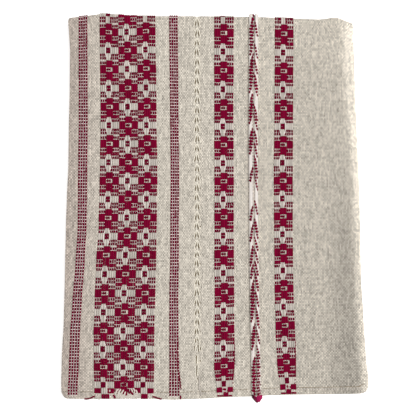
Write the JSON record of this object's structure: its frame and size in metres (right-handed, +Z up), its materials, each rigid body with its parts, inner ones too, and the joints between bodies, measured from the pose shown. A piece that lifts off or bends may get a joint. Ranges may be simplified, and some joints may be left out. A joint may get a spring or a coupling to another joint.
{
  "type": "folded rebozo",
  "caption": "Hand-woven cream cotton rebozo with magenta brocade stripes, a line of openwork and a raised seam, folded flat into a thin pile.",
  "frame": {"origin": "middle of the base of the folded pile, on the surface it lies on", "axes": "+X across the stripes, +Y along them from the open hem to the first cross fold, +Z up out of the patterned face"},
  "size_m": [0.3076, 0.3896, 0.0269],
  "materials": {
    "cream_cotton": "matt undyed cotton, twill woven, with magenta pattern yarns in stripes",
    "seam_yarn": "matt magenta and cream cotton yarn, rolled and sewn"
  },
  "bodies": {
    "root": {"rebozo_cloth": "cream_cotton", "raised_seam": "seam_yarn", "raised_seam_second_fold": "seam_yarn", "raised_seam_third_fold": "seam_yarn"}
  },
  "joints": []
}
